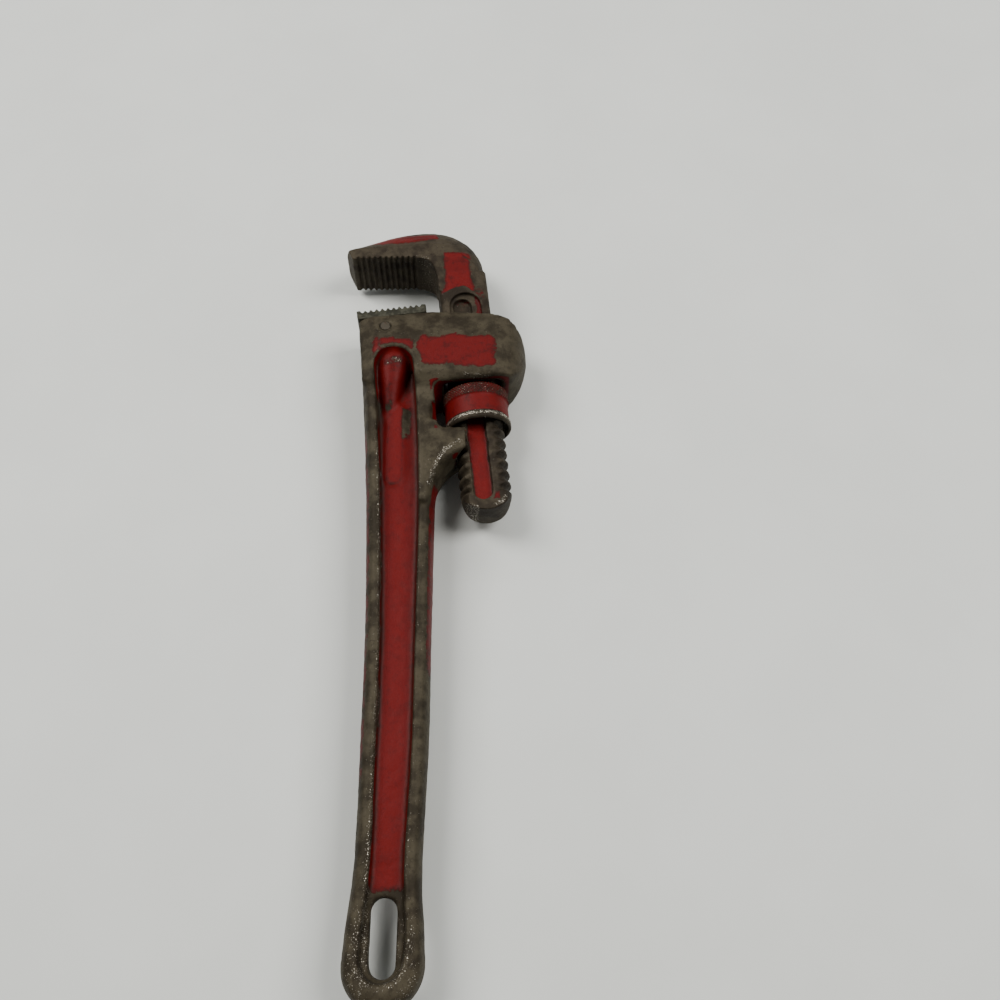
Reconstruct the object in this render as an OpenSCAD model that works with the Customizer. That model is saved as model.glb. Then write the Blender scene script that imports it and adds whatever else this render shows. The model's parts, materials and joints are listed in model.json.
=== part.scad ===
// Pipe wrench of the 14 in (350 mm) pattern, lying on its side.
// +Y runs along the handle to the jaws, +X to the housing's rounded back, +Z up through
// the thickness. The origin is under the middle of the whole wrench, on the table.
//
// Two working frames are used below. The handle frame has X = 0 on the handle's centre
// line, Y = 0 at its end and Z = 0 at half its thickness. The shank frame has its origin
// in the middle of the nut, Y along the leaning shank and X across it.

/* [Handle] */
// From the end of the handle to the top of the housing
reach = 286; // [250:1:345]
// Width of the handle across its flanges
handle_w = 26.7; // [24:0.1:32]
// Thickness of the handle at its end
handle_end_t = 16; // [14:0.5:20]
// Thickness of the flanges beside the housing
handle_head_t = 26; // [22:0.5:31]
// Width of each flange
flange_w = 6.5; // [5:0.1:8]
// Thickness of the web between the flanges
web_t = 6.4; // [4:0.2:8]
// Radius of the eye at the handle's end
eye_r = 15; // [13.5:0.1:18]
// Width of the hang hole
hole_w = 9.8; // [6:0.1:12]
// Length of the hang hole
hole_l = 27; // [16:0.5:36]
// How far the left edge flares out towards the jaw
flare = 10.7; // [6:0.1:13]

/* [Housing] */
// Thickness of the housing
housing_t = 34; // [31:0.5:41]
// Radius of the housing's back
back_r = 19; // [18:0.1:21]
// Width of the wall behind the shank
back_wall = 11.2; // [8:0.1:14]

/* [Jaws] */
// Gap between the two rows of teeth as the wrench lies
opening = 26.5; // [4:0.5:60]
// Widest gap that the wrench opens to
max_opening = 62; // [60:0.5:63]
// Narrowest gap
min_opening = 3; // [2.5:0.1:5]
// Width of both jaws across their teeth
jaw_t = 25; // [22:0.5:26]
// Length of the toothed face of each jaw
face_l = 31; // [28:0.5:34]
// Slope of the heel jaw's face
heel_slope = 8.4; // [4:0.2:10]
// Slope of the hook jaw's face against the shank's square
hook_slope = 3.9; // [2:0.1:6]
// Distance from tooth to tooth
tooth_pitch = 2.6; // [2.2:0.05:3.8]
// Depth of the teeth
tooth_depth = 1.2; // [0.8:0.1:1.6]
// Diameter of the pin that holds the heel jaw
pin_d = 5; // [3:0.1:6]

/* [Shank and nut] */
// Lean of the shank away from the handle
lean = 6; // [4:0.2:8]
// Major diameter of the shank's thread
thread_d = 22.6; // [20:0.1:24]
// Pitch of the thread
thread_pitch = 5.08; // [4:0.02:6.4]
// Depth of the thread
thread_depth = 2; // [1.4:0.1:2.6]
// How far each of the shank's flats is cut in from its thread's major diameter
flat_depth = 3.3; // [2.8:0.1:4.5]
// Thickness of the shank below the hook
neck_t = 20; // [18:0.5:21]
// Outer diameter of the nut
nut_d = 29.4; // [28.5:0.1:32]
// Height of the nut
nut_h = 18; // [14:0.1:19]
// How far the hook jaw rocks about the nut, in degrees
rock = 2.2; // [1:0.1:3]

/* [Springs] */
// Thickness of the leaf spring
leaf_t = 1; // [0.6:0.1:1.4]
// Width of the leaf spring
leaf_w = 12; // [8:0.5:16]
// Outer diameter of the coil spring
coil_d = 7.7; // [6:0.1:9]
// Diameter of the coil spring's wire
wire_d = 1.1; // [0.8:0.1:1.4]

/* [Clearances] */
// Round the shank in the housing
shank_gap = 0.3; // [0.2:0.05:0.6]
// Round the heel jaw's tongue in its seat
seat_gap = 0.15; // [0.1:0.05:0.3]
// Between the shank's thread and the nut's
thread_gap = 0.3; // [0.2:0.05:0.5]
// Round the heel jaw's pin
pin_gap = 0.05; // [0.02:0.01:0.1]
// Above and below the nut in its window
window_gap = 1.7; // [1:0.1:3]
// Between the nut and the window's left wall
nut_side_gap = 3.5; // [2:0.1:5]

/* [Hidden] */
$fn = 64;

red = "#8a1c20";
iron = "#4c463a";
dark_steel = "#3a3c34";
spring_steel = "#6d7076";

// Places in the handle frame
nut_c = [31.2, reach - 47];
heel_corner = [8, reach];
back_c = [nut_c.x + thread_d / 2 + back_wall - back_r + 0.1, reach - back_r - 0.4];
heel_pin_at = [-10.2, reach - 10];
heel_l = face_l + 0.6;
heel_rise = 4.4;
tongue_left = -19;
tongue_right = -1.5;
tongue_low = 14.5;
tongue_half = 6;
eye_x = -1.4;
neck_y = 48;
straight_y = 100;
pocket_top = reach - 21.5;
pocket_shoulder = pocket_top - 8.5;
pocket_bottom = 9.2;
pocket_end_r = 7.8;
hole_low = 10.5;
lug_half_t = handle_head_t / 2 - 0.4;
lug_tip_half_t = (thread_d - 2 * flat_depth) / 2 + 2.6;
lug_top_y = nut_c.y - 20;
face_low = reach - 33.6;
face_high = reach - 15.4;
face_left = -12.5;

// Places in the shank frame
window_high = nut_h / 2 + window_gap;
window_low = -window_high;
window_left = -(nut_d / 2 + nut_side_gap);
barrel_top = 48;
thread_r = thread_d / 2;
shank_t = thread_d - 2 * flat_depth;
root_r = thread_r - thread_depth;
shank_r = thread_r + 0.1;
channel_w = 8.3;
channel_x = -1.4;
channel_depth = 2.6;
leaf_x = -(shank_r + shank_gap);
leaf_low = window_high + 2;
leaf_high = barrel_top - 3;
coil_y = 26;
coil_travel = 1.6;
coil_l = 9.6;
coil_room = (coil_l + leaf_t - leaf_x) * sin(rock) + 0.25;
rivet_d = 2.5;
rivet_head_d = coil_d - 2 * wire_d - 0.8;
rivet_head_h = 1.6;

// Longer than any part of the wrench is thick, for what is cut right through
through = 60;

// How far the hook jaw moves from the resting gap, each way
close_by = opening - min_opening;
open_by = max_opening - opening;
// Height above the nut of the teeth's right end if the jaws could shut to no gap
shut_y = 53.7;
teeth_end = [-20, shut_y + opening];

// The thread runs just far enough for the nut to cross it at both ends of its travel
thread_low = -(nut_h / 2 + open_by);
tip_high = thread_low + 3.2;
shank_end = thread_low - 5.5;
neck_low = nut_h / 2 + close_by + 0.7;
thread_high = neck_low + 1.3;

// The flats end above the thread and a narrower slot with an arched end goes on from them
flat_high = thread_high + 3;
arch_y = teeth_end.y - 27.2;
arch_r = 7.2;

// The hook's arm: the rounded shoulder starts at back_x and comes down at arm_right, or at
// flat_right on the arm's flat sides
hook_reach = 53.4;
hook_rise = 20;
crown_y = teeth_end.y + hook_rise;
back_x = -15;
arm_right = shank_r - 0.5;
flat_right = shank_r - 5.9;

// The extreme points of the wrench, from which the origin is placed
low_x = nut_c.x - hook_reach * cos(lean) - (teeth_end.y + 8) * sin(lean);
high_x = back_c.x + back_r;
high_y = nut_c.y + crown_y * cos(lean) + back_x * sin(lean);
mid_x = (low_x + high_x) / 2;
mid_y = high_y / 2;

function smooth(t) = let (u = min(1, max(0, t))) u * u * (3 - 2 * u);
function mix(a, b, t) = a + (b - a) * t;
function bezier(a, b, c, t) = mix(mix(a, b, t), mix(b, c, t), t);
function both(points) =
    concat(points, [for (i = [len(points) - 1:-1:0]) [points[i].x, -points[i].y]]);
function arc(centre, r, from, to, steps) =
    [for (i = [0:steps]) let (a = mix(from, to, i / steps)) centre + r * [cos(a), sin(a)]];

module in_handle_frame() translate([-mid_x, -mid_y, housing_t / 2]) children();
module in_shank_frame() in_handle_frame() at_nut() children();
module at_nut() translate([nut_c.x, nut_c.y, 0]) rotate([0, 0, lean]) children();
module slab(t) linear_extrude(height = t, center = true) children();
module across(t) rotate([90, 0, 90]) slab(t) children();
module along(t) rotate([90, 0, 0]) slab(t) children();
module both_faces() for (side = [0, 1]) mirror([0, 0, side]) children();

// A closed skin over rings that all have the same number of points, each running
// anticlockwise as seen from the last ring. The first point of each end ring has to see all
// the others, because the ends are closed by triangles from it.
module skin(rings) {
    n = len(rings[0]);
    last = len(rings) - 1;
    points = [for (ring = rings) each ring];
    sides = [for (k = [0:last - 1], i = [0:n - 1]) let (a = k * n + i, b = k * n + (i + 1) % n)
        each [[a, b + n, b], [a, a + n, b + n]]];
    polyhedron(points = points, convexity = 8, faces = concat(
        [[for (i = [0:n - 1]) i]], sides, [[for (i = [n:-1:1]) last * n + i % n]]));
}

// ---- handle ----

function bar_half(y) = y < eye_r
    ? sqrt(pow(eye_r, 2) - pow(eye_r - y, 2))
    : let (neck = handle_w / 2 - 0.75)
        mix(mix(eye_r, neck, smooth((y - eye_r) / (neck_y - eye_r))), handle_w / 2,
            smooth((y - neck_y) / (straight_y - neck_y)));
function bar_centre(y) = eye_x * (1 - smooth(y / straight_y));
function bar_flare(y) = flare * pow(max(0, (y - straight_y) / (reach - straight_y)), 2);
function bar_left(y) = bar_centre(y) - bar_half(y) - bar_flare(y);
function bar_right(y) = bar_centre(y) + bar_half(y);
function bar_top(y) = let (t = min(1, max(0, (y - 60) / (reach - 96))), end_round = 7,
        nose = y < end_round ? 0.4 + 0.6 * sqrt(1 - pow(1 - y / end_round, 2)) : 1)
    nose * mix(handle_end_t, handle_head_t, t * t) / 2;

// One cross-section of the bar, with its flanges' outer sides rounded to the middle
function bar_ring(y) = let (r = min(4.2, bar_half(y) * 0.8), h = bar_top(y))
    concat([for (a = [-90:22.5:90]) [bar_right(y) - r + r * cos(a), y, h * sin(a)]],
        [for (a = [90:22.5:270]) [bar_left(y) + r + r * cos(a), y, h * sin(a)]]);

module bar() {
    eye = [for (k = [8:-1:1]) eye_r * (1 - cos(k * 90 / 8))];
    length_steps = [for (k = [22:-1:1]) mix(eye_r, reach - 8, k / 22)];
    skin([for (y = concat(length_steps, eye)) bar_ring(y)]);
}

function pocket_right(y) = bar_right(y) - flange_w
    - 5 * pow(max(0, (y - 180) / (pocket_top - 180)), 2);
function pocket_left(y) = bar_left(y) + flange_w;

module pocket_outline() {
    low = pocket_bottom + pocket_end_r;
    steps = 24;
    up = [for (k = [0:steps]) let (y = mix(low + 8, pocket_shoulder, k / steps))
        [pocket_right(y), y]];
    down = [for (k = [steps:-1:0]) let (y = mix(low + 8, pocket_shoulder, k / steps))
        [pocket_left(y), y]];
    top_mid = (up[steps].x + down[0].x) / 2;
    top_half = (up[steps].x - down[0].x) / 2;
    top = [for (a = [15:15:165])
        [top_mid + top_half * cos(a), pocket_shoulder + (pocket_top - pocket_shoulder) * sin(a)]];
    bottom = arc([eye_x - 0.4, low], pocket_end_r, 180, 360, 12);
    polygon(concat(up, top, down, bottom));
}

module pockets() both_faces() translate([0, 0, web_t / 2])
    linear_extrude(height = housing_t) pocket_outline();

// The rounded boss that runs out of the housing's face and down on to the web
module web_boss() {
    top_r = 9.6;
    low_r = 2.4;
    both_faces() translate([-6.6, pocket_top + 2, housing_t / 2 - top_r - 1.8])
        rotate([97, 0, -2.5]) cylinder(h = 31, r1 = top_r, r2 = low_r);
}

// A blank raised pad on the web
module name_pad() both_faces() translate([-4.6, reach - 64, web_t / 2 - 1])
    linear_extrude(height = 2) {
        r = 4.2;
        run = 32;
        square([2 * r, run], center = true);
        for (y = [-run / 2, run / 2]) translate([0, y]) circle(r);
    }

module hang_hole() slab(through) {
    half_run = (hole_l - hole_w) / 2;
    translate([eye_x - 0.1, hole_low + hole_l / 2]) {
        for (s = [-1, 1]) translate([0, s * half_run]) circle(d = hole_w);
        square([hole_w, 2 * half_run], center = true);
    }
}

module housing_plan() {
    translate(back_c) circle(back_r);
    polygon([[bar_left(reach) + 0.7, reach + 0.2], [back_c.x - 3, reach - 0.1], back_c,
        [back_c.x - 1, nut_c.y], [bar_right(reach) - 1.3, nut_c.y],
        [bar_left(face_low) + 1, face_low - 4.3]]);
}

// Seen along X: flat faces with a slope above and below
module housing_side() {
    h = housing_t / 2;
    polygon(both([[nut_c.y - 30, h - 6], [face_low - 7, h - 4], [face_low, h], [face_high, h],
        [reach + 1, h - 4.2]]));
}

// Seen along Y: flat faces, a full round at the back and a slope to the left edge
module housing_front() {
    h = housing_t / 2;
    left = bar_left(reach);
    polygon(concat(arc([high_x - h, 0], h, -90, 90, 18),
        [[face_left, h], [left + 4, h - 4], [left - 1, h - 7],
            [left - 1, 7 - h], [left + 4, 4 - h], [face_left, -h]]));
}

module housing() intersection() {
    slab(housing_t) housing_plan();
    across(2 * reach) housing_side();
    translate([0, reach, 0]) along(2 * reach) mirror([0, 1]) housing_front();
}

// The forked lug below the nut, thinner towards its tip
function lug_ring(z, grow) = let (
        shelf = nut_c.y + window_low - 1,
        root = [handle_w / 2 - 4.2 + grow, nut_c.y - 48],
        bend = [root.x + 0.4, nut_c.y - 28.5],
        nose = [nut_c.x - 5.1 + grow * 0.3, lug_top_y - grow * 0.6])
    [for (p = concat([[root.x - 8, shelf + 4], [root.x - 8, root.y]],
            [for (k = [0:6]) bezier(root, bend, nose, k / 6)], [[nose.x - 0.2, shelf + 1.6]]))
        [p.x, p.y, z]];

// How much further the lug's outer side stands out at a part of its half thickness
function lug_swell(part) = part == 0 ? 4.2 : abs(part) < 1 ? 2.4 : 0;

module lug() intersection() {
    skin([for (part = [-1, -0.8, 0, 0.8, 1]) lug_ring(part * lug_half_t, lug_swell(part))]);
    lug_taper();
}

// Limits the lug's thickness: full beside the handle, thinner at the tip
module lug_taper() translate([0, lug_top_y, 0]) along(through)
    polygon(both([[-handle_w, handle_head_t / 2], [handle_w / 2, handle_head_t / 2],
        [nut_c.x - 4, lug_tip_half_t]]));

module nut_window() at_nut() slab(through) {
    r = 3;
    translate([window_left + r, window_low]) square([through, window_high - window_low]);
    translate([window_left, window_low + r]) square([through, window_high - window_low - 2 * r]);
    for (y = [window_low + r, window_high - r]) translate([window_left + r, y]) circle(r);
}

// Room for the shank in the housing, with space on the left for it to rock
module shank_way() at_nut() {
    left = leaf_x - leaf_t - shank_gap;
    right = shank_r + shank_gap;
    far = barrel_top + 20;
    slab(neck_t + 0.8)
        polygon([[left, 0], [right, 0], [right, far], [left - far * tan(rock), far]]);
    translate([0, window_low + 1, 0]) rotate([90, 0, 0])
        cylinder(h = through, r = thread_r + 2 * shank_gap);
}

module coil_bore() at_nut() {
    end = leaf_x - leaf_t - coil_l - coil_travel;
    translate([end, coil_y, 0]) rotate([0, 90, 0]) cylinder(h = -end, r = coil_d / 2 + coil_room);
}

module pin_hole(gap) translate([heel_pin_at.x, heel_pin_at.y, 0])
    cylinder(h = through, d = pin_d + 2 * gap, center = true);

module handle() color(red) in_handle_frame() {
    difference() {
        union() {
            difference() {
                union() {
                    bar();
                    housing();
                    lug();
                }
                pockets();
            }
            web_boss();
            name_pad();
        }
        nut_window();
        shank_way();
        coil_bore();
        heel_seat();
        pin_hole(pin_gap);
        hang_hole();
    }
}

// ---- heel jaw ----

// What is cut away between the teeth of a row that runs along +X from 0, with tips at Y = 0
module tooth_gaps(length) {
    count = floor(length / tooth_pitch);
    land = tooth_pitch * 0.22;
    for (k = [0:count - 1]) translate([k * tooth_pitch + land, 0])
        polygon([[0, 0.6], [tooth_pitch - land, 0.6], [tooth_pitch - land, 0],
            [tooth_pitch * 0.52, -tooth_depth], [tooth_pitch * 0.3, -tooth_depth], [0, 0]]);
}

module heel_line() translate(heel_corner) rotate([0, 0, heel_slope]) children();

module tongue_plan(gap) translate([tongue_left - gap, reach - tongue_low - gap])
    square([tongue_right - tongue_left + 2 * gap, tongue_low + 4]);

// Everything above the sloping seat, and the slot for the tongue
module heel_seat() {
    slab(through) heel_line() translate([-2 * face_l, 0]) square([2 * face_l, 30]);
    slab(2 * tongue_half + 2 * seat_gap) tongue_plan(seat_gap);
}

module heel_jaw() color(dark_steel) in_handle_frame() difference() {
    union() {
        slab(jaw_t) heel_line() translate([-heel_l, 0]) square([heel_l, heel_rise]);
        intersection() {
            slab(2 * tongue_half) tongue_plan(0);
            slab(through) heel_line() translate([-through, -through]) square([through, through + 1]);
        }
    }
    slab(through) heel_line() translate([1 - heel_l, heel_rise]) tooth_gaps(face_l);
    pin_hole(pin_gap);
}

module heel_jaw_pin() color(spring_steel) in_handle_frame()
    translate([heel_pin_at.x, heel_pin_at.y, 0]) {
        half = housing_t / 2 - 1.6;
        chamfer = 0.5;
        cylinder(h = 2 * half - 2 * chamfer, d = pin_d, center = true);
        both_faces() translate([0, 0, half - chamfer])
            cylinder(h = chamfer, d1 = pin_d, d2 = pin_d - 2 * chamfer);
    }

// ---- hook jaw ----

// Part of the rounded shoulder where the arm's back turns down into the shank
function arm_bow(from, to, inset) = let (y0 = teeth_end.y, bow_h = 25.3)
    [for (a = [from:-10:to]) mix(
        [back_x + (arm_right - back_x) * cos(a), crown_y - bow_h + bow_h * sin(a)],
        [back_x + 2 + (flat_right - back_x - 2) * cos(a), y0 - 14 + 21.6 * sin(a)], inset)];

// Outline of the arm at half thickness (inset = 0) and of its flat side (inset = 1)
function arm_outline(inset) = let (
        y0 = teeth_end.y,
        throat = arc([teeth_end.x, y0 - 8.1], 8.1, 0, 90, 5),
        tip_x = -hook_reach,
        tip_low = [tip_x + 3.2, y0 + tan(hook_slope) * (face_l - 1)],
        tip_mid = [tip_x + 0.1 + inset * 1.6, tip_low.y + 6.2 - inset * 1.4],
        tip_top = [tip_x + 2 + inset * 2, tip_low.y + 8 - inset * 2.4],
        back = [for (k = [1:6]) let (x = mix(tip_top.x, back_x, k / 6))
            [x, mix(crown_y - 0.0078 * pow(x - back_x, 2), y0 + 7.8, inset)]])
    concat(arm_bow(60, 0, inset), [[mix(arm_right, flat_right, inset), y0 - 18],
        [-shank_r, y0 - 18], [-shank_r, y0 - 9.5]], throat, [tip_low, tip_mid, tip_top], back,
        arm_bow(80, 70, inset));

function arm_ring(part) = let (
        inset = pow(max(0, (abs(part) - 0.3) / 0.7), 2.2) * 0.9 + 0.1 * pow(abs(part), 2))
    [for (p = arm_outline(inset)) [p.x, p.y, part * jaw_t / 2]];

module arm() difference() {
    intersection() {
        skin([for (part = [1, 0.88, 0.75, 0.6, 0.4, 0, -0.4, -0.6, -0.75, -0.88, -1])
            arm_ring(part)]);
        across(4 * hook_reach) neck_profile();
    }
    slab(through) translate(teeth_end) rotate([0, 0, 180 - hook_slope]) tooth_gaps(face_l - 1.5);
}

// Seen along X: as wide as the jaw at the teeth, narrowing to the neck
module neck_profile() {
    y0 = teeth_end.y;
    polygon(both([[y0 - 20, neck_t / 2], [y0 - 8, neck_t / 2], [y0 - 0.6, jaw_t / 2 + 0.3],
        [y0 + 40, jaw_t / 2 + 1]]));
}

module neck() {
    r = 3;
    translate([0, neck_low, 0]) rotate([-90, 0, 0])
        linear_extrude(height = teeth_end.y - 8 - neck_low) {
            square([2 * shank_r, neck_t - 2 * r], center = true);
            square([2 * shank_r - 2 * r, neck_t], center = true);
            for (x = [-1, 1], y = [-1, 1])
                translate([x * (shank_r - r), y * (neck_t / 2 - r)]) circle(r);
        }
}

// What is cut away above each flat, which runs on up the neck as an arched slot
module flat_cut() both_faces() translate([0, 0, shank_t / 2]) linear_extrude(height = jaw_t) {
    translate([-thread_d, shank_end]) square([2 * thread_d, flat_high - shank_end]);
    translate([-arch_r, flat_high - 1]) square([2 * arch_r, arch_y - flat_high + 1]);
    translate([0, arch_y]) circle(arch_r);
}

module channel() both_faces() translate([channel_x, 0, shank_t / 2 - channel_depth])
    linear_extrude(height = jaw_t) {
        low = shank_end + 5 + channel_w / 2;
        high = arch_y + arch_r - 2.2 - channel_w / 2;
        translate([-channel_w / 2, low]) square([channel_w, high - low]);
        for (y = [low, high]) translate([0, y]) circle(d = channel_w);
    }

// The threaded part. Each row of points follows the right-handed helix, with four rows to a
// turn: two at the root and two at the crest. The left edge is half a turn behind.
module threaded_bar() {
    row_at = [0.12, 0.38, 0.62, 0.88];
    turns = ceil((thread_high - thread_low) / thread_pitch);
    flat_angle = asin(shank_t / 2 / thread_r);
    end_angle = asin(shank_t / 2 / root_r) + 3;
    quarter = [flat_angle / 3, flat_angle * 2 / 3, flat_angle, (flat_angle + end_angle) / 2,
        end_angle];
    angles = concat([for (i = [4:-1:0]) -quarter[i]], [0], quarter);
    function radius(k, side) = let (step = (k + (side > 0 ? 0 : 2)) % 4)
        k > 1 && (step == 1 || step == 2) ? thread_r : root_r;
    function edge(k, side) = [for (a = angles) let (
            r = min(radius(k, side), a == 0 ? thread_r : shank_t / 2 / abs(sin(a))),
            y = thread_low + (floor(k / 4) + row_at[k % 4] - a / 360) * thread_pitch)
        [side * r * cos(a), y, side * r * sin(a)]];
    skin([for (k = [4 * turns - 1:-1:0]) concat(edge(k, 1), edge(k, -1))]);
}

// The shank's plain end, round like the thread and rounded off across its flats
module shank_tip() intersection() {
    translate([0, shank_end + shank_r, 0]) cylinder(h = shank_t, r = shank_r, center = true);
    translate([0, shank_end - 1, 0]) rotate([-90, 0, 0])
        cylinder(h = tip_high - shank_end + 1, r = thread_r - 0.2);
}

module hook_jaw() color(iron) in_shank_frame() difference() {
    union() {
        arm();
        difference() {
            neck();
            flat_cut();
        }
        threaded_bar();
        shank_tip();
    }
    channel();
}

// ---- nut ----

module nut_ring() rotate([-90, 0, 0]) rotate_extrude($fn = 96) {
    r = nut_d / 2;
    bore = thread_r + thread_gap;
    h = nut_h / 2;
    polygon([[bore, h - 1], [bore + 1, h], [r - 0.8, h], [r, h - 0.8], [r, h - 5.4],
        [r - 0.5, h - 5.9], [r - 0.5, 3.6 - h], [r, 3.1 - h], [r, 0.7 - h], [r - 0.7, -h],
        [r - 1.3, -h], [bore, 4.2 - h]]);
}

// The nut's thread, one ridge along the helix that the shank's thread leaves open
module nut_thread() {
    turns = (nut_h - 6.5) / thread_pitch;
    steps = ceil(turns * 20);
    crest = root_r + thread_gap;
    seat = thread_r + thread_gap + 0.8;
    half_tip = thread_pitch * 0.06;
    half_base = thread_pitch * 0.28;
    low = 5.2 - nut_h / 2;
    skin([for (k = [0:steps]) let (a = k / steps * turns * 360, y = low + a / 360 * thread_pitch,
            turn = (thread_low - low) / thread_pitch * 360 - a, c = cos(turn), s = sin(turn))
        [[seat * c, y - half_base, seat * s], [crest * c, y - half_tip, crest * s],
            [crest * c, y + half_tip, crest * s], [seat * c, y + half_base, seat * s]]]);
}

module adjusting_nut() color(red) in_shank_frame() {
    nut_ring();
    nut_thread();
}

// ---- springs ----

module flat_spring() color(spring_steel) in_shank_frame() difference() {
    translate([leaf_x - leaf_t, 0, 0]) rotate([90, 0, 90]) linear_extrude(height = leaf_t) {
        end_r = leaf_w / 2;
        translate([leaf_low + end_r, -end_r]) square([leaf_high - leaf_low - leaf_w, leaf_w]);
        for (y = [leaf_low + end_r, leaf_high - end_r]) translate([y, 0]) circle(end_r);
    }
    translate([leaf_x - leaf_t - 1, coil_y, 0]) rotate([0, 90, 0])
        cylinder(h = leaf_t + 2, d = rivet_d);
}

module spring_rivet() color(spring_steel) in_shank_frame()
    translate([leaf_x - leaf_t, coil_y, 0]) rotate([0, 90, 0]) {
        cylinder(h = leaf_t, d = rivet_d);
        translate([0, 0, -rivet_head_h]) cylinder(h = rivet_head_h, d = rivet_head_d);
    }

module coil_spring() color(spring_steel) in_shank_frame()
    translate([leaf_x - leaf_t - wire_d / 2, coil_y, 0]) {
        turns = 5;
        steps = turns * 16;
        r = (coil_d - wire_d) / 2;
        run = coil_l - wire_d;
        skin([for (k = [0:steps]) let (a = k / steps * turns * 360)
            [for (b = [0:60:300]) let (q = r + wire_d / 2 * cos(b))
                [-run * k / steps - wire_d / 2 * sin(b), q * cos(a), q * sin(a)]]]);
    }

handle();
heel_jaw();
heel_jaw_pin();
hook_jaw();
adjusting_nut();
flat_spring();
coil_spring();
spring_rivet();
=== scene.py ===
import itertools
import json
import math

import bmesh
import bpy
import numpy as np
from mathutils import Matrix, Vector


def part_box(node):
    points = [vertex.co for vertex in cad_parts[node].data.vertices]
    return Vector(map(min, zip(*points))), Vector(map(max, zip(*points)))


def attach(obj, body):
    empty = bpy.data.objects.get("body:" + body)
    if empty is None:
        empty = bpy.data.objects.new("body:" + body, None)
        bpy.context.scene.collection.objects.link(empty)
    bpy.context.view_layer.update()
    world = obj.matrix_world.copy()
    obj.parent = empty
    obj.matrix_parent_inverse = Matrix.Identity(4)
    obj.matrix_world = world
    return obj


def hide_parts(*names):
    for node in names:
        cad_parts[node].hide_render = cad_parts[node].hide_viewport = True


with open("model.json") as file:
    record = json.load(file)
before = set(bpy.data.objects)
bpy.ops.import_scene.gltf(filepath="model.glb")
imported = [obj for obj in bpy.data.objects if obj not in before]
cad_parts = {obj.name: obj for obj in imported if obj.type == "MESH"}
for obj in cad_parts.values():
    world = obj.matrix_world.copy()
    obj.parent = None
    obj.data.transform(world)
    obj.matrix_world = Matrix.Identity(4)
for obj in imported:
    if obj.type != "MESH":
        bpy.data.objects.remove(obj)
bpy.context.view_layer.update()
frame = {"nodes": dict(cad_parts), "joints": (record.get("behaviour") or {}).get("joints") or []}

MM = 0.001
NODES = frame["nodes"]
JOINTS = {joint["name"]: joint for joint in frame["joints"]}

# The nut's middle and the leaning shank give both working frames of the wrench: the handle
# frame has its zero on the handle's centre line and at its end, the shank frame in the nut
NUT = Vector(JOINTS["jaw_rock"]["pos_m"])
SHANK_UP = Vector(JOINTS["jaw_slide"]["axis"]).normalized()
SHANK_SIDE = Vector((SHANK_UP.y, -SHANK_UP.x, 0))
NUT_FROM_HANDLE = Vector((31.2, 239, 0)) * MM
HANDLE_ZERO = NUT - NUT_FROM_HANDLE

# Handle, in millimetres in its own frame
HANDLE_HALF = 13.35
FLANGE = 6.5
STRAIGHT_FROM = 100
FLARE = 10.7
FLARE_RUN = 186
EYE_DRIFT = -1.4
WIDEN = 5
WIDEN_FROM = 180
POCKET_LOW = 39
POCKET_TOP = 264.5
FACE_HALF = 17

# Shank, in millimetres in its own frame
CHANNEL_X = -1.4
CHANNEL_HALF = 4.15
FLAT_HALF = 8
BAND_MIDDLE = 52.5
BAND_RADIUS = 10.6

# Paint patches, each by its left, right, low and high side and the softness of its border.
# The first eight are in the handle's frame, the rest in the shank's
BOSS_LEFT_WORN = (-15.5, -11, 227, 243, 1.8)
BOSS_RIGHT_WORN = (-1.5, 2.5, 225, 240, 1.8)
HOUSING_PANEL = (4.5, 39, 254, 271, 2.4)
HOUSING_CORNER = (-14.5, 3, 259, 269.5, 2.2)
BOSS_PAINT = (-13, 0.5, 228, 262, 2.2)
RIGHT_FLANK = (5, 40, 118, 203, 5)
LEFT_FLANK = (-40, 0, 70, 230, 14)
LUG_TIP = (21, 28, 213, 219.5, 1.4)
WINDOW_WALLS = (-20, 16, -12, 12.2, 1)
HEAD = (-8.6, 6, 58, 82.5, 2)
NECK_SIDE = (4.6, 11, 46, 63, 1.5)
ARM_BACK = (-45, -8, 90.5, 97, 1.4)
SHANK_TOE = (3.2, 6.6, -45.5, -41, 0.8)
SHANK_SHOULDER = (-7.5, -5.2, -30, -10, 1)

# Lines that have been rubbed bright and carry painted highlight specks: three in the handle's
# frame, the rest in the shank's
LUG_EDGE = [(24, 220.5), (17.5, 215.5), (13.4, 208), (11.4, 199)]
BOSS_TOP = [(-9, 259), (-3, 260.5)]
ABOVE_NUT = [(25, 251), (38, 249.5)]
SHANK_END_LEFT = [(-10.5, -45), (-8, -47.4), (-4.5, -48.6)]
SHANK_END_RIGHT = [(2.8, -48.2), (5.6, -47), (7.8, -44.6)]
THROAT = [(-20, 81.5), (-15, 79), (-12.2, 73)]
NUT_RIM = -6.3

# Rounds of smoothing against which corners, and broad hollows, are measured
CORNER_ROUNDS = 8
SWELL_ROUNDS = 60


# ---- numbers over a mesh ----

def fade(value, low, high):
    """0 below low, 1 above high, smooth between; with low above high it falls instead."""
    t = np.clip((value - low) / (high - low), 0, 1)
    return t * t * (3 - 2 * t)


def patch(x, y, left, right, low, high, soft):
    """1 inside an upright rectangle, falling to 0 across its soft border."""
    return (fade(x, left - soft, left + soft) * fade(x, right + soft, right - soft)
            * fade(y, low - soft, low + soft) * fade(y, high + soft, high - soft))


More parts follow.
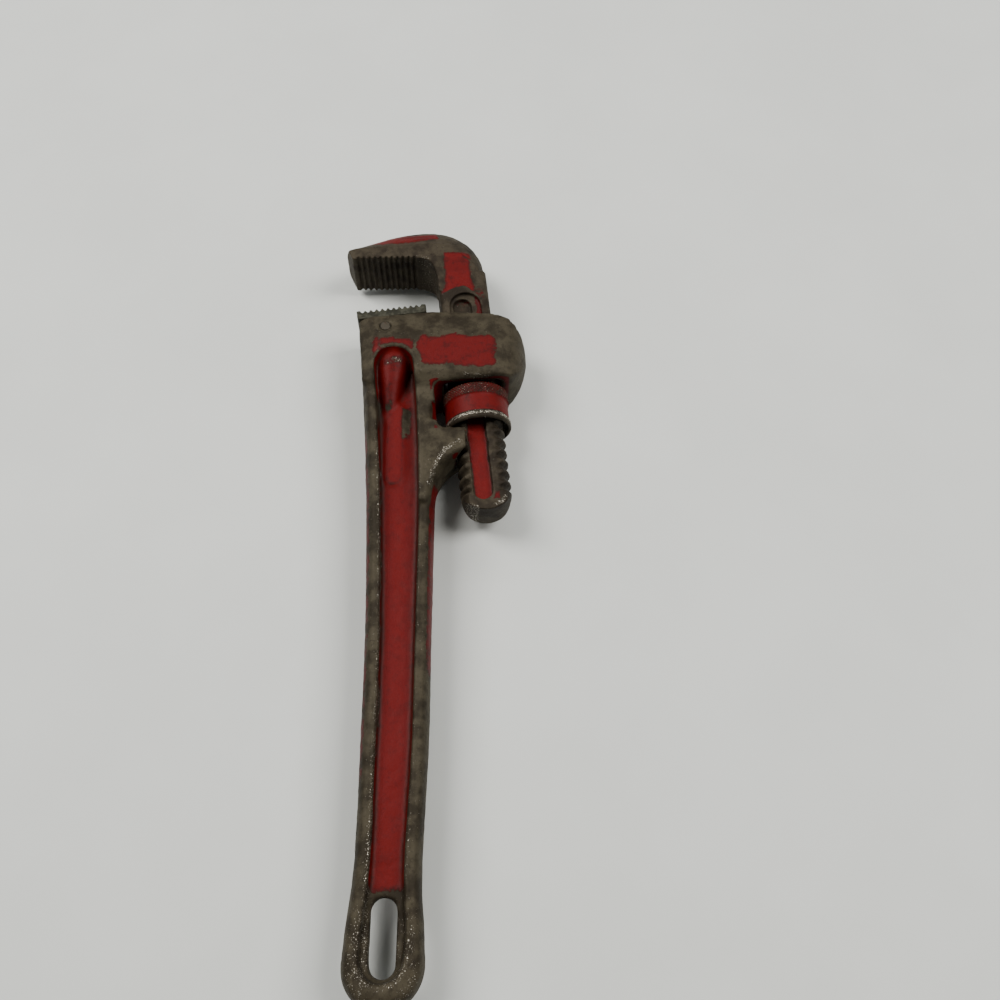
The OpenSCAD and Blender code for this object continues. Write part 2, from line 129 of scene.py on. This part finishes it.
def lattice(cells, seed):
    """A fixed value from -1 to 1 for each whole-number cell."""
    mixed = cells @ np.array([374761393, 668265263, 1440662683]) + seed * 1274126177
    mixed = (mixed & 0xFFFFFFFF) ^ ((mixed & 0xFFFFFFFF) >> 13)
    mixed = (mixed * 1274126177) & 0xFFFFFFFF
    return ((mixed ^ (mixed >> 16)) & 0xFFFF) / 32767.5 - 1


def noise(points, size, seed):
    """Smooth noise from -1 to 1 with lumps of about that size."""
    scaled = points / size + 512
    cell = np.floor(scaled).astype(np.int64)
    part = scaled - cell
    part = part * part * (3 - 2 * part)
    total = np.zeros(len(points))
    for corner in itertools.product((0, 1), repeat=3):
        share = np.prod(np.where(corner, part, 1 - part), axis=1)
        total += share * lattice(cell + np.array(corner), seed)
    return total


def ragged(places, seed, far=2.4):
    """The places pushed about a little, so that a border drawn over them wanders."""
    moved = places.copy()
    for axis in range(3):
        moved[:, axis] += (far * noise(places, 12, seed + axis)
                           + 0.4 * far * noise(places, 3.6, seed + 3 + axis)
                           + 0.15 * far * noise(places, 1.3, seed + 6 + axis))
    return moved


def along(places, path, width):
    """1 on a line through the listed points, seen from above, fading out across its width."""
    near = np.full(len(places), np.inf)
    for start, end in zip(path[:-1], path[1:]):
        start, run = np.array(start, float), np.array(end, float) - start
        away = places[:, :2] - start
        part = np.clip(away @ run / (run @ run), 0, 1)
        near = np.minimum(near, np.linalg.norm(away - part[:, None] * run, axis=1))
    return fade(near, width, 0.3 * width)


class Surface:
    """A mesh's points and edges as arrays, for smoothing and for measuring its relief."""

    def __init__(self, mesh):
        self.mesh = mesh
        self.points = self.read(mesh.vertices, "co", 3)
        self.edges = self.read(mesh.edges, "vertices", 2, np.int32)
        self.count = np.bincount(self.edges.ravel(), minlength=len(self.points))

    @staticmethod
    def read(items, name, width, kind=np.float32):
        flat = np.zeros(len(items) * width, kind)
        items.foreach_get(name, flat)
        return flat.reshape(-1, width).astype(np.int64 if kind is np.int32 else float)

    def around(self, values):
        """The mean over each point's neighbours."""
        a, b = self.edges.T
        total = np.zeros_like(values)
        for column in range(values.shape[1]):
            v = values[:, column]
            total[:, column] = (np.bincount(a, v[b], len(v)) + np.bincount(b, v[a], len(v)))
        return total / self.count[:, None]

    def spread(self, values, rounds):
        for _ in range(rounds):
            values = values + 0.5 * (self.around(values) - values)
        return values

    def normals(self):
        self.mesh.vertices.foreach_set("co", self.points.astype(np.float32).ravel())
        self.mesh.update()
        return self.read(self.mesh.vertices, "normal", 3)

    def relief(self, rounds):
        """How far each point stands proud of the smoothed surface, in millimetres."""
        lifted = self.points - self.spread(self.points, rounds)
        return np.sum(lifted * self.normals(), axis=1) / MM

    def store(self, name, values):
        layer = self.mesh.attributes.new(name, "FLOAT", "POINT")
        layer.data.foreach_set("value", np.clip(values, 0, 1).astype(np.float32))


def in_handle_frame(points):
    return (points - np.array(HANDLE_ZERO)) / MM


def in_shank_frame(points):
    away = (points - np.array(NUT)) / MM
    return np.column_stack([away @ np.array(SHANK_SIDE), away @ np.array(SHANK_UP), away[:, 2]])


# ---- pieces made from the castings and forgings of the frame ----

def plain_mesh(piece):
    """Bakes the piece's modifiers into its mesh and takes them off."""
    graph = bpy.context.evaluated_depsgraph_get()
    made = bpy.data.meshes.new_from_object(piece.evaluated_get(graph))
    piece.modifiers.clear()
    piece.data = made
    return piece


def new_piece(name, mesh):
    piece = bpy.data.objects.new(name, mesh)
    bpy.context.scene.collection.objects.link(piece)
    return piece


def dense_copy(node, name, grain):
    """A copy of a CAD node as one even skin of small faces."""
    mesh = NODES[node].data.copy()
    mesh.materials.clear()
    form = bmesh.new()
    form.from_mesh(mesh)
    bmesh.ops.remove_doubles(form, verts=form.verts, dist=0.002 * MM)
    form.to_mesh(mesh)
    form.free()
    for layer in [a for a in mesh.attributes if a.name.startswith("custom_normal")]:
        mesh.attributes.remove(layer)
    piece = new_piece(name, mesh)
    remesh = piece.modifiers.new("skin", "REMESH")
    remesh.mode = "VOXEL"
    remesh.voxel_size = grain * MM
    return plain_mesh(piece)


def cast_piece(node, name, grain, ease, places, paint_rule, rub_and_painted_glint_rule, bumps, seed):
    """A dense copy with rounded corners and a rough cast skin, which carries its paint, wear and
    painted highlight specks as attributes that the finishes read. bumps lists pairs of lump size
    and height."""
    piece = dense_copy(node, name, grain)
    skin = Surface(piece.data)
    skin.points = skin.spread(skin.points, ease)
    edge = skin.relief(CORNER_ROUNDS)
    swell = skin.relief(SWELL_ROUNDS)
    facing = skin.normals()
    local = places(skin.points)
    painted = paint_rule(local, facing)
    rough = sum(height * noise(local, size, seed + k) for k, (size, height) in enumerate(bumps))
    nicks = fade(noise(local, 2.6, seed + 20) * fade(edge, 0.02, 0.12), 0.35, 0.9) * 0.35
    skin.points += facing * ((rough - nicks) * MM)[:, None]
    skin.normals()
    worn = fade(edge, 0.015, 0.13)
    skin.store("edge", worn)
    # Where corners are rubbed bright, and where highlight specks are painted into the colour
    skin.store("rub_and_painted_glint", rub_and_painted_glint_rule(local, worn))
    skin.store("hollow", fade(-swell, 0.1, 1.2))
    skin.store("paint", painted)
    smooth_shaded(piece)
    return piece


def smooth_shaded(piece):
    piece.data.polygons.foreach_set("use_smooth", [True] * len(piece.data.polygons))


def within_flanges(x, y):
    """How far inside the pocket's walls a point of the handle is, negative over a flange."""
    drift = EYE_DRIFT * fade(y, STRAIGHT_FROM, 0)
    flare = FLARE * np.clip((y - STRAIGHT_FROM) / FLARE_RUN, 0, 1) ** 2
    widen = WIDEN * np.clip((y - WIDEN_FROM) / (POCKET_TOP - WIDEN_FROM), 0, 1) ** 2
    return np.minimum(x - drift + HANDLE_HALF + flare - FLANGE,
                      drift + HANDLE_HALF - FLANGE - widen - x)


def shank_places(local):
    return in_shank_frame(local * MM + np.array(HANDLE_ZERO))


def handle_paint(local, facing):
    """Where the handle kept its paint: the pocket, the housing's faces and the nut's window."""
    height = np.abs(local[:, 2])
    x, y, _ = ragged(local, 60, 0.7).T
    inside = within_flanges(x, y)
    pocket = fade(inside, -1.5, 0.6) * fade(y, POCKET_LOW - 5, POCKET_LOW + 5) * fade(y, 268, 264)
    pocket -= 0.62 * (patch(x, y, *BOSS_LEFT_WORN) + patch(x, y, *BOSS_RIGHT_WORN))
    hole = 0.42 * fade(inside, -1.3, 0.2) * fade(y, 8, 16) * fade(y, POCKET_LOW + 3, POCKET_LOW)
    x, y, _ = ragged(local, 70, 3.2).T
    face = fade(height, FACE_HALF - 7, FACE_HALF - 5)
    panel = patch(x, y, *HOUSING_PANEL)
    corner = patch(x, y, *HOUSING_CORNER)
    boss = patch(x, y, *BOSS_PAINT) * fade(height, 5, 7)
    sides = fade(np.abs(facing[:, 0]), 0.5, 0.9) * fade(height, 11, 8)
    flanks = sides * np.where(x > 0, 0.74 * patch(x, y, *RIGHT_FLANK),
                              0.6 * patch(x, y, *LEFT_FLANK))
    across, up, _ = shank_places(local).T
    window = patch(across, up, *WINDOW_WALLS) * fade(height, 16.6, 14.5)
    lug_tip = 0.7 * patch(x, y, *LUG_TIP)
    traces = 0.16 + 0.14 * fade(noise(local, 30, 5), 0, 1)
    return np.maximum.reduce([pocket, hole, 0.84 * face * panel, 0.82 * face * corner, boss,
                              flanks, 0.9 * window, lug_tip, traces])


def handle_rub_and_painted_glint(local, worn):
    """Where hands and tools have kept the handle's metal bright, and where highlight specks are
    painted on it.
    """
    x, y, _ = local.T
    inside = within_flanges(x, y)
    rim = fade(np.abs(inside), 1.8, 0.4) * fade(y, 236, 215)
    rim = rim * np.where(x < -1, 0.62, 0.34)
    lug = along(local, LUG_EDGE, 1.7)
    low_end = 0.5 * fade(y, 46, 26) * worn
    # A highlight painted along the top of the boss
    boss = 0.8 * along(local, BOSS_TOP, 2.4)
    above_nut = 0.6 * along(local, ABOVE_NUT, 1.6)
    return np.maximum.reduce([rim, 0.72 * lug, low_end, boss, above_nut, 0.1 * worn])


def hook_paint(local, facing):
    """Where the hook jaw kept its paint: its channel, part of its head and its back."""
    height = np.abs(local[:, 2])
    x, y, _ = ragged(local, 80, 0.5).T
    channel = (fade(np.abs(x - CHANNEL_X), CHANNEL_HALF + 0.3, CHANNEL_HALF - 1.2)
               * fade(height, FLAT_HALF - 0.1, FLAT_HALF - 0.9) * fade(height, 3, 4))
    # Above the nut the channel's paint value is halved, which paints shade into its top end inside
    # the housing
    channel = channel * (0.5 + 0.5 * fade(y, 8, -6)) * fade(y, 60, 57) * fade(y, -48, -45.5)
    x, y, _ = ragged(local, 90, 1.8).T
    band = 1 - 0.9 * fade(np.hypot(x - CHANNEL_X, np.maximum(y - BAND_MIDDLE, 0)),
                          BAND_RADIUS, BAND_RADIUS - 1.4)
    head = patch(x, y, *HEAD) * fade(height, 7, 8.5)
    neck = 0.6 * patch(x, y, *NECK_SIDE)
    back = 0.8 * patch(x, y, *ARM_BACK) * fade(height, 4, 7)
    toe = 0.7 * patch(x, y, *SHANK_TOE) * fade(height, 5, 6.5)
    shoulder = 0.55 * patch(x, y, *SHANK_SHOULDER)
    return np.maximum.reduce([channel, 0.9 * head * band, neck, back, toe, shoulder,
                              np.full(len(x), 0.12)])


def hook_rub_and_painted_glint(local, worn):
    """Rubbed bright round the shank's end and along the hook's throat, with highlight specks
    painted there.
    """
    x, y, _ = local.T
    end = along(local, SHANK_END_LEFT, 1.3)
    end = np.maximum(end, along(local, SHANK_END_RIGHT, 1.3))
    throat = 0.4 * along(local, THROAT, 1.2)
    crests = 0.16 * worn * fade(y, 8, 0)
    return np.maximum.reduce([0.8 * end, throat, crests, 0.08 * worn])


def heel_paint(local, facing):
    return np.full(len(local), 0.05)


def even_rub_and_painted_glint(local, worn):
    return 0.2 * worn


def nut_paint(local, facing):
    """Red over the nut, worn off its lower rim and rubbed on the knurled band."""
    _, y, _ = ragged(local, 100, 0.5).T
    return 0.86 - 0.75 * fade(y, -4.6, -5.8) - 0.16 * fade(y, 3.2, 3.8)


def nut_rub_and_painted_glint(local, worn):
    """The lower rim is rubbed bright all round, and highlight specks are painted on it."""
    _, y, _ = local.T
    return np.maximum(0.9 * fade(np.abs(y - NUT_RIM), 1.6, 0.5), 0.1 * worn)


# ---- repeated shapes, by Geometry Nodes ----

class Tree:
    """A node tree that makes geometry, with named inputs."""

    def __init__(self, name, sizes):
        self.group = bpy.data.node_groups.new(name, "GeometryNodeTree")
        face = self.group.interface
        self.sockets = {}
        for label, kind, value in sizes:
            socket = face.new_socket(label, in_out="INPUT", socket_type="NodeSocket" + kind)
            self.sockets[label] = (socket.identifier, value)
        face.new_socket("Geometry", in_out="OUTPUT", socket_type="NodeSocketGeometry")
        self.source = self.group.nodes.new("NodeGroupInput")

    def size(self, label):
        return self.source.outputs[label]

    def node(self, kind, settings=None, values=None, out=0):
        made = self.group.nodes.new(kind)
        for key, value in (settings or {}).items():
            setattr(made, key, value)
        for key, value in (values or {}).items():
            if isinstance(value, bpy.types.NodeSocket):
                self.group.links.new(value, made.inputs[key])
            else:
                made.inputs[key].default_value = value
        return made.outputs[out]

    def maths(self, operation, a, b=0.0):
        return self.node("ShaderNodeMath", {"operation": operation}, {0: a, 1: b})

    def piece(self, name, geometry, material):
        """Ends the tree, puts it on a new object and returns the plain mesh piece."""
        real = self.node("GeometryNodeRealizeInstances", None, {"Geometry": geometry})
        done = self.node("GeometryNodeSetMaterial", None, {"Geometry": real, "Material": material})
        output = self.group.nodes.new("NodeGroupOutput")
        self.group.links.new(done, output.inputs["Geometry"])
        made = new_piece(name, bpy.data.meshes.new(name))
        modifier = made.modifiers.new(self.group.name, "NODES")
        modifier.node_group = self.group
        for identifier, value in self.sockets.values():
            modifier[identifier] = value
        return plain_mesh(made)


KNURL_AROUND = 66
KNURL_ROWS = 7
KNURL_AT = 14.55


def nut_knurling(material):
    """The diamonds of the knurled band: rows of small blunt pyramids, every second row
    half a step on."""
    low = 3.9
    rise = 4.1
    tree = Tree("knurled band", [
        ("Around", "Int", KNURL_AROUND), ("Rows", "Int", KNURL_ROWS),
        ("Radius", "Float", KNURL_AT * MM),
        ("Low", "Float", low * MM), ("Rise", "Float", rise * MM),
        ("Diamond", "Float", 0.72 * MM), ("Relief", "Float", 0.42 * MM),
        ("Centre", "Vector", tuple(NUT)), ("Turn", "Vector", (0, 0, lean_angle()))])
    m = tree.maths
    index = tree.node("GeometryNodeInputIndex")
    row = m("FLOOR", m("DIVIDE", index, tree.size("Around")))
    column = m("SUBTRACT", index, m("MULTIPLY", row, tree.size("Around")))
    shift = m("MULTIPLY", m("MODULO", row, 2.0), 0.5)
    turn = m("MULTIPLY", m("DIVIDE", m("ADD", column, shift), tree.size("Around")), math.tau)
    height = m("ADD", tree.size("Low"), m("MULTIPLY", tree.size("Rise"), m(
        "DIVIDE", row, m("SUBTRACT", tree.size("Rows"), 1.0))))
    outward = tree.node("ShaderNodeCombineXYZ", None,
                        {"X": m("COSINE", turn), "Y": 0.0, "Z": m("SINE", turn)})
    reach = tree.node("ShaderNodeVectorMath", {"operation": "SCALE"},
                      {0: outward, "Scale": tree.size("Radius")})
    lift = tree.node("ShaderNodeCombineXYZ", None, {"X": 0.0, "Y": height, "Z": 0.0})
    place = tree.node("ShaderNodeVectorMath", {"operation": "ADD"}, {0: reach, 1: lift})
    count = m("MULTIPLY", tree.size("Around"), tree.size("Rows"))
    points = tree.node("GeometryNodePoints", None, {"Count": count, "Position": place})
    diamond = tree.node("GeometryNodeMeshCone", {"fill_type": "NGON"}, {
        "Vertices": 4, "Radius Top": m("MULTIPLY", tree.size("Diamond"), 0.3),
        "Radius Bottom": tree.size("Diamond"), "Depth": tree.size("Relief")})
    stand = tree.node("FunctionNodeAlignRotationToVector", {"axis": "Z"}, {"Vector": outward})
    stand = tree.node("FunctionNodeAlignRotationToVector", {"axis": "X", "pivot_axis": "Z"},
                      {"Rotation": stand, "Vector": (0, 1, 0)})
    band = tree.node("GeometryNodeInstanceOnPoints", None,
                     {"Points": points, "Instance": diamond, "Rotation": stand})
    placed = tree.node("GeometryNodeTransform", None, {
        "Geometry": band, "Translation": tree.size("Centre"), "Rotation": tree.size("Turn")})
    return tree.piece("nut_knurling", placed, material)


def lean_angle():
    return math.atan2(-SHANK_UP.x, SHANK_UP.y)


def coil_wire(material):
    """The small coil spring in its bore, wound along the line across the shank."""
    low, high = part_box("coil_spring")
    wire = 1.1 * MM
    mean_radius = 3.3 * MM
    middle = (low + high) / 2
    run = (high.x - low.x) - wire * 1.6
    tree = Tree("coil spring", [
        ("Turns", "Float", 5.0), ("Radius", "Float", mean_radius), ("Run", "Float", run),
        ("Wire", "Float", wire / 2), ("Centre", "Vector", tuple(middle)),
        ("Turn", "Vector", (0, math.pi / 2, lean_angle()))])
    path = tree.node("GeometryNodeCurveSpiral", None, {
        "Resolution": 28, "Rotations": tree.size("Turns"), "Start Radius": tree.size("Radius"),
        "End Radius": tree.size("Radius"), "Height": tree.size("Run")})
    ring = tree.node("GeometryNodeCurvePrimitiveCircle", None,
                     {"Resolution": 14, "Radius": tree.size("Wire")})
    wound = tree.node("GeometryNodeCurveToMesh", None,
                      {"Curve": path, "Profile Curve": ring, "Fill Caps": True})
    back = tree.node("ShaderNodeCombineXYZ", None, {
        "X": 0.0, "Y": 0.0, "Z": tree.maths("MULTIPLY", tree.size("Run"), -0.5)})
    centred = tree.node("GeometryNodeTransform", None, {"Geometry": wound, "Translation": back})
    placed = tree.node("GeometryNodeTransform", None, {
        "Geometry": centred, "Translation": tree.size("Centre"), "Rotation": tree.size("Turn")})
    made = tree.piece("coil_spring_wire", placed, material)
    smooth_shaded(made)
    return made


# ---- finishes ----

class Value:
    """A shader socket that ordinary sums can be written with."""

    def __init__(self, finish, socket):
        self.finish = finish
        self.socket = socket

    def __add__(self, other):
        return self.finish.maths("ADD", self, other)

    def __sub__(self, other):
        return self.finish.maths("SUBTRACT", self, other)

    def __rsub__(self, other):
        return self.finish.maths("SUBTRACT", other, self)

    def __mul__(self, other):
        return self.finish.maths("MULTIPLY", self, other)

    __radd__ = __add__
    __rmul__ = __mul__


class Finish:
    """A material under construction."""

    def __init__(self, name):
        self.material = bpy.data.materials.new(name)
        self.material.use_nodes = True
        self.tree = self.material.node_tree
        self.tree.nodes.clear()
        self.place = self.node("TexCoord", out="Object")

    def node(self, kind, settings=None, values=None, out=0):
        made = self.tree.nodes.new("ShaderNode" + kind)
        for key, value in (settings or {}).items():
            setattr(made, key, value)
        for key, value in (values or {}).items():
            if isinstance(value, Value):
                self.tree.links.new(value.socket, made.inputs[key])
            else:
                made.inputs[key].default_value = value
        return Value(self, made.outputs[out])

    def maths(self, operation, a, b):
        return self.node("Math", {"operation": operation}, {0: a, 1: b})

    def noise(self, size, detail=3.0, rough=0.6, place=None):
        return self.node("TexNoise", None, {
            "Vector": place or self.place, "Scale": 1 / (size * MM), "Detail": detail,
            "Roughness": rough})

    def attribute(self, name):
        return self.node("Attribute", {"attribute_name": name}, out="Fac")

    def fade(self, value, low, high, start=0.0, end=1.0):
        return self.node("MapRange", {"interpolation_type": "SMOOTHSTEP"}, {
            "Value": value, "From Min": low, "From Max": high, "To Min": start, "To Max": end})

    def mix(self, share, a, b):
        def colour(c):
            return c if isinstance(c, Value) else (*c, 1)
        return self.node("Mix", {"data_type": "RGBA"}, {0: share, 6: colour(a), 7: colour(b)},
                         out=2)

    def bump(self, height, reach):
        return self.node("Bump", None, {"Height": height, "Distance": reach * MM})

    def surface(self, sheen=0.12, **values):
        labels = {key.replace("_", " ").title(): value for key, value in values.items()}
        labels["Specular IOR Level"] = sheen
        shader = self.node("BsdfPrincipled", None, labels)
        output = self.tree.nodes.new("ShaderNodeOutputMaterial")
        self.tree.links.new(shader.socket, output.inputs["Surface"])
        return self.material


RED = (0.105, 0.0022, 0.0020)
DEEP_RED = (0.044, 0.0020, 0.0018)
NEAR_BLACK_BROWN = (0.012, 0.009, 0.006)


def worn_paint(name, dark, light, bright):
    """Old red enamel over bare, darkened iron, rubbed through on edges and high spots; darker in
    broad hollows and random patches, with highlight specks painted into the bare metal's colour.
    """
    f = Finish(name)
    edge = f.attribute("edge")
    hollow = f.attribute("hollow")
    rub_and_painted_glint = f.attribute("rub_and_painted_glint")
    broad = f.noise(24, 3)
    middle = f.noise(6, 5, 0.65)
    fine = f.noise(1.4, 4, 0.7)
    grit = f.noise(0.55, 2, 0.7)
    keep = (f.attribute("paint") + (middle - 0.5) * 1.1 + (fine - 0.5) * 0.6 - edge * 0.5
            - rub_and_painted_glint * 0.4)
    mask = f.fade(keep, 0.46, 0.62)
    body = f.fade(keep, 0.55, 0.95)
    # Darker in broad hollows and in random cloudy patches
    hollow_and_patch_darkening = f.fade(hollow * 0.7 + broad * 0.5 + (fine - 0.5) * 0.5, 0.45, 0.95)
    red = f.mix(body, DEEP_RED, RED)
    red = f.mix(f.fade(middle + (fine - 0.5) * 0.6, 0.42, 0.75, 0.0, 0.4), red, DEEP_RED)
    red = f.mix(hollow_and_patch_darkening * 0.7, red, NEAR_BLACK_BROWN)
    metal = f.mix(f.fade(broad * 0.5 + middle * 0.5, 0.4, 0.6), dark, light)
    metal = f.mix(f.fade(fine, 0.5, 0.72) * 0.5, metal, NEAR_BLACK_BROWN)
    metal = f.mix(hollow_and_patch_darkening * 0.6, metal, NEAR_BLACK_BROWN)
    # Metal rubbed bright at worn places, with highlight specks painted into its colour
    bright_rub_and_painted_glint = f.fade(rub_and_painted_glint * 0.55 + (grit - 0.5) * 2.2 + (fine - 0.5) * 0.8, 0.48, 0.72)
    metal = f.mix(bright_rub_and_painted_glint, metal, bright)
    bare = 1 - mask
    return f.surface(
        base_color=f.mix(mask, metal, red),
        metallic=bare * (bright_rub_and_painted_glint * 0.6 + 0.25),
        roughness=mask * (0.38 + fine * 0.22) + bare * (0.6 - bright_rub_and_painted_glint * 0.3 + (fine - 0.5) * 0.3),
        normal=f.bump(mask * 0.6 + fine * 0.7 + grit * 0.4, 0.16))


def rubbed_steel(name, dark, light, bright, rub_and_glint_weight):
    """Bare steel, darker in its hollows and rubbed bright on its edges, with highlight specks
    painted into its colour.
    """
    f = Finish(name)
    edge = f.attribute("edge")
    hollow = f.attribute("hollow")
    middle = f.noise(5, 4, 0.6)
    fine = f.noise(1.1, 4, 0.7)
    grit = f.noise(0.4, 2)
    metal = f.mix(f.fade(middle + (fine - 0.5) * 0.5, 0.4, 0.62), dark, light)
    # Darker in broad hollows
    metal = f.mix(f.fade(hollow + (fine - 0.5) * 0.6, 0.25, 0.8), metal, NEAR_BLACK_BROWN)
    # Edges rubbed bright, with highlight specks painted into the steel's colour
    bright_rub_and_painted_glint = f.fade(edge * rub_and_glint_weight + (grit - 0.5) * 2.0 + (middle - 0.5) * 0.7, 0.6, 0.85)
    return f.surface(
        base_color=f.mix(bright_rub_and_painted_glint, metal, bright),
        metallic=0.35 + bright_rub_and_painted_glint * 0.5,
        roughness=0.56 - bright_rub_and_painted_glint * 0.26 + (fine - 0.5) * 0.3,
        normal=f.bump(fine * 0.7 + grit * 0.4, 0.1))


def drawn_steel(name, tone, rough, along):
    """Cold-drawn or rolled spring steel, with fine lines along one direction."""
    f = Finish(name)
    stretched = f.node("Mapping", None, {"Vector": f.place, "Scale": along})
    lines = f.noise(0.6, 3, 0.6, stretched)
    cloud = f.noise(4, 4)
    rust = f.fade(cloud + (lines - 0.5) * 0.4, 0.52, 0.72)
    return f.surface(
        base_color=f.mix(rust * 0.7, tone, (0.05, 0.028, 0.016)),
        metallic=0.95 - rust * 0.5,
        roughness=rough + rust * 0.25 + (lines - 0.5) * 0.2,
        normal=f.bump(lines, 0.03))


# ---- the wrench ----

OLIVE_DARK = (0.022, 0.0170, 0.0105)
OLIVE = (0.052, 0.0430, 0.0275)
BROWN_DARK = (0.018, 0.0130, 0.0085)
BROWN = (0.046, 0.0365, 0.0240)
# The colour of metal rubbed bright, also used for the painted highlight specks
WORN_BRIGHT_AND_PAINTED_GLINT = (0.36, 0.33, 0.28)


def make_wrench():
    # The last colour given to each worn_paint and rubbed_steel finish is the rubbed-bright metal
    # and its painted highlight specks
    iron = worn_paint("painted ductile iron", OLIVE_DARK, OLIVE, WORN_BRIGHT_AND_PAINTED_GLINT)
    forged = worn_paint("forged steel with paint traces", BROWN_DARK, BROWN, WORN_BRIGHT_AND_PAINTED_GLINT)
    nut_finish = worn_paint("painted nut", BROWN_DARK, BROWN, (0.5, 0.46, 0.38))
    jaw_steel = rubbed_steel("hardened jaw steel", (0.022, 0.021, 0.015), (0.052, 0.050, 0.036),
                             (0.2, 0.19, 0.15), 0.3)
    spring = drawn_steel("spring steel", (0.30, 0.31, 0.32), 0.34, (1, 0.08, 1))
    pin = drawn_steel("pin steel", (0.06, 0.052, 0.04), 0.55, (1, 1, 0.1))

    handle = cast_piece("handle", "handle_casting", 0.72, 9, in_handle_frame, handle_paint,
                        handle_rub_and_painted_glint, [(9, 0.12), (3.4, 0.08), (1.6, 0.045)], 1)
    hook = cast_piece("hook_jaw", "hook_jaw_forging", 0.42, 2, in_shank_frame, hook_paint,
                      hook_rub_and_painted_glint, [(7, 0.09), (2.4, 0.05), (1.1, 0.03)], 40)
    heel = cast_piece("heel_jaw", "heel_jaw_block", 0.3, 1, in_handle_frame, heel_paint,
                      even_rub_and_painted_glint, [(4, 0.04), (1.2, 0.025)], 80)
    nut = cast_piece("adjusting_nut", "nut_body", 0.3, 2, in_shank_frame, nut_paint,
                     nut_rub_and_painted_glint, [(4, 0.03), (1.2, 0.02)], 120)
    for piece, material in ((handle, iron), (hook, forged), (heel, jaw_steel), (nut, nut_finish)):
        piece.data.materials.append(material)
    knurling = nut_knurling(nut_finish)
    skin = Surface(knurling.data)
    lift = np.linalg.norm(in_shank_frame(skin.points)[:, [0, 2]], axis=1) - KNURL_AT
    skin.store("edge", 0.5 * fade(lift, 0.1, 0.2))
    # The knurl tips are rubbed, and highlight specks are painted on them
    skin.store("rub_and_painted_glint", 0.5 * fade(lift, 0.1, 0.2))
    skin.store("hollow", np.zeros(len(skin.points)))
    skin.store("paint", np.full(len(skin.points), 0.84))
    coil = coil_wire(spring)

    for piece, body, node, slot in (
            (handle, "handle", "handle", "painted_casting"),
            (hook, "hook_jaw", "hook_jaw", "forged_steel"),
            (heel, "handle", "heel_jaw", "jaw_steel"),
            (nut, "nut", "adjusting_nut", "painted_nut"),
            (coil, "rocker", "coil_spring", "spring_steel")):
        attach(piece, body)
        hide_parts(node)
    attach(knurling, "nut")

    for node, material in (("heel_jaw_pin", pin), ("flat_spring", spring), ("spring_rivet", pin)):
        NODES[node].data.materials.clear()
        NODES[node].data.materials.append(material)


# ---- floor, light and camera ----

def make_floor():
    f = Finish("pale bench top")
    tint = f.fade(f.noise(90, 3), 0.3, 0.7)
    f.surface(base_color=f.mix(tint, (0.60, 0.61, 0.585), (0.63, 0.64, 0.615)),
              roughness=0.42 + f.noise(30, 2) * 0.1)
    side = 3.0
    mesh = bpy.data.meshes.new("bench_top")
    mesh.from_pydata([(-side, -side, 0), (side, -side, 0), (side, side, 0), (-side, side, 0)], [],
                     [(0, 1, 2, 3)])
    mesh.materials.append(f.material)
    new_piece("bench_top", mesh)


def area_light(name, place, aim, width, depth, power, colour):
    light = bpy.data.lights.new(name, "AREA")
    light.shape = "RECTANGLE"
    light.size = width
    light.size_y = depth
    light.energy = power
    light.color = colour
    lamp = bpy.data.objects.new(name, light)
    bpy.context.scene.collection.objects.link(lamp)
    lamp.location = place
    lamp.rotation_euler = (Vector(aim) - Vector(place)).to_track_quat("-Z", "Y").to_euler()


def make_lights():
    area_light("ceiling_left", (-0.75, 0.35, 1.15), (0, 0, 0), 0.5, 0.8, 21, (1, 0.99, 0.96))
    area_light("ceiling_right", (0.85, 0.15, 1.2), (0, 0, 0), 0.5, 0.8, 19, (1, 0.99, 0.96))
    area_light("ceiling_far", (0.1, 1.2, 1.1), (0, 0.1, 0), 1.2, 0.5, 6, (0.97, 0.99, 1))
    world = bpy.data.worlds.new("room")
    bpy.context.scene.world = world
    world.use_nodes = True
    world.node_tree.nodes["Background"].inputs["Color"].default_value = (0.95, 0.98, 0.95, 1)
    world.node_tree.nodes["Background"].inputs["Strength"].default_value = 0.16


def make_camera():
    """Above the lower half of the handle, tilted about 25 degrees towards the jaws."""
    eye = HANDLE_ZERO + Vector((28.8, 14.9, 0)) * MM
    eye.z = 408 * MM
    right = Vector((0.99958, -0.0065, 0.0290))
    down = Vector((0.0063, -0.9065, -0.4222))
    ahead = Vector((0.0290, 0.4222, -0.9060))
    data = bpy.data.cameras.new("camera")
    data.lens = 36
    data.sensor_width = 36
    camera = bpy.data.objects.new("camera", data)
    bpy.context.scene.collection.objects.link(camera)
    turn = Matrix((right, -down, -ahead)).transposed()
    camera.matrix_world = Matrix.Translation(eye) @ turn.to_4x4()
    bpy.context.scene.camera = camera


make_wrench()
make_floor()
make_lights()
make_camera()
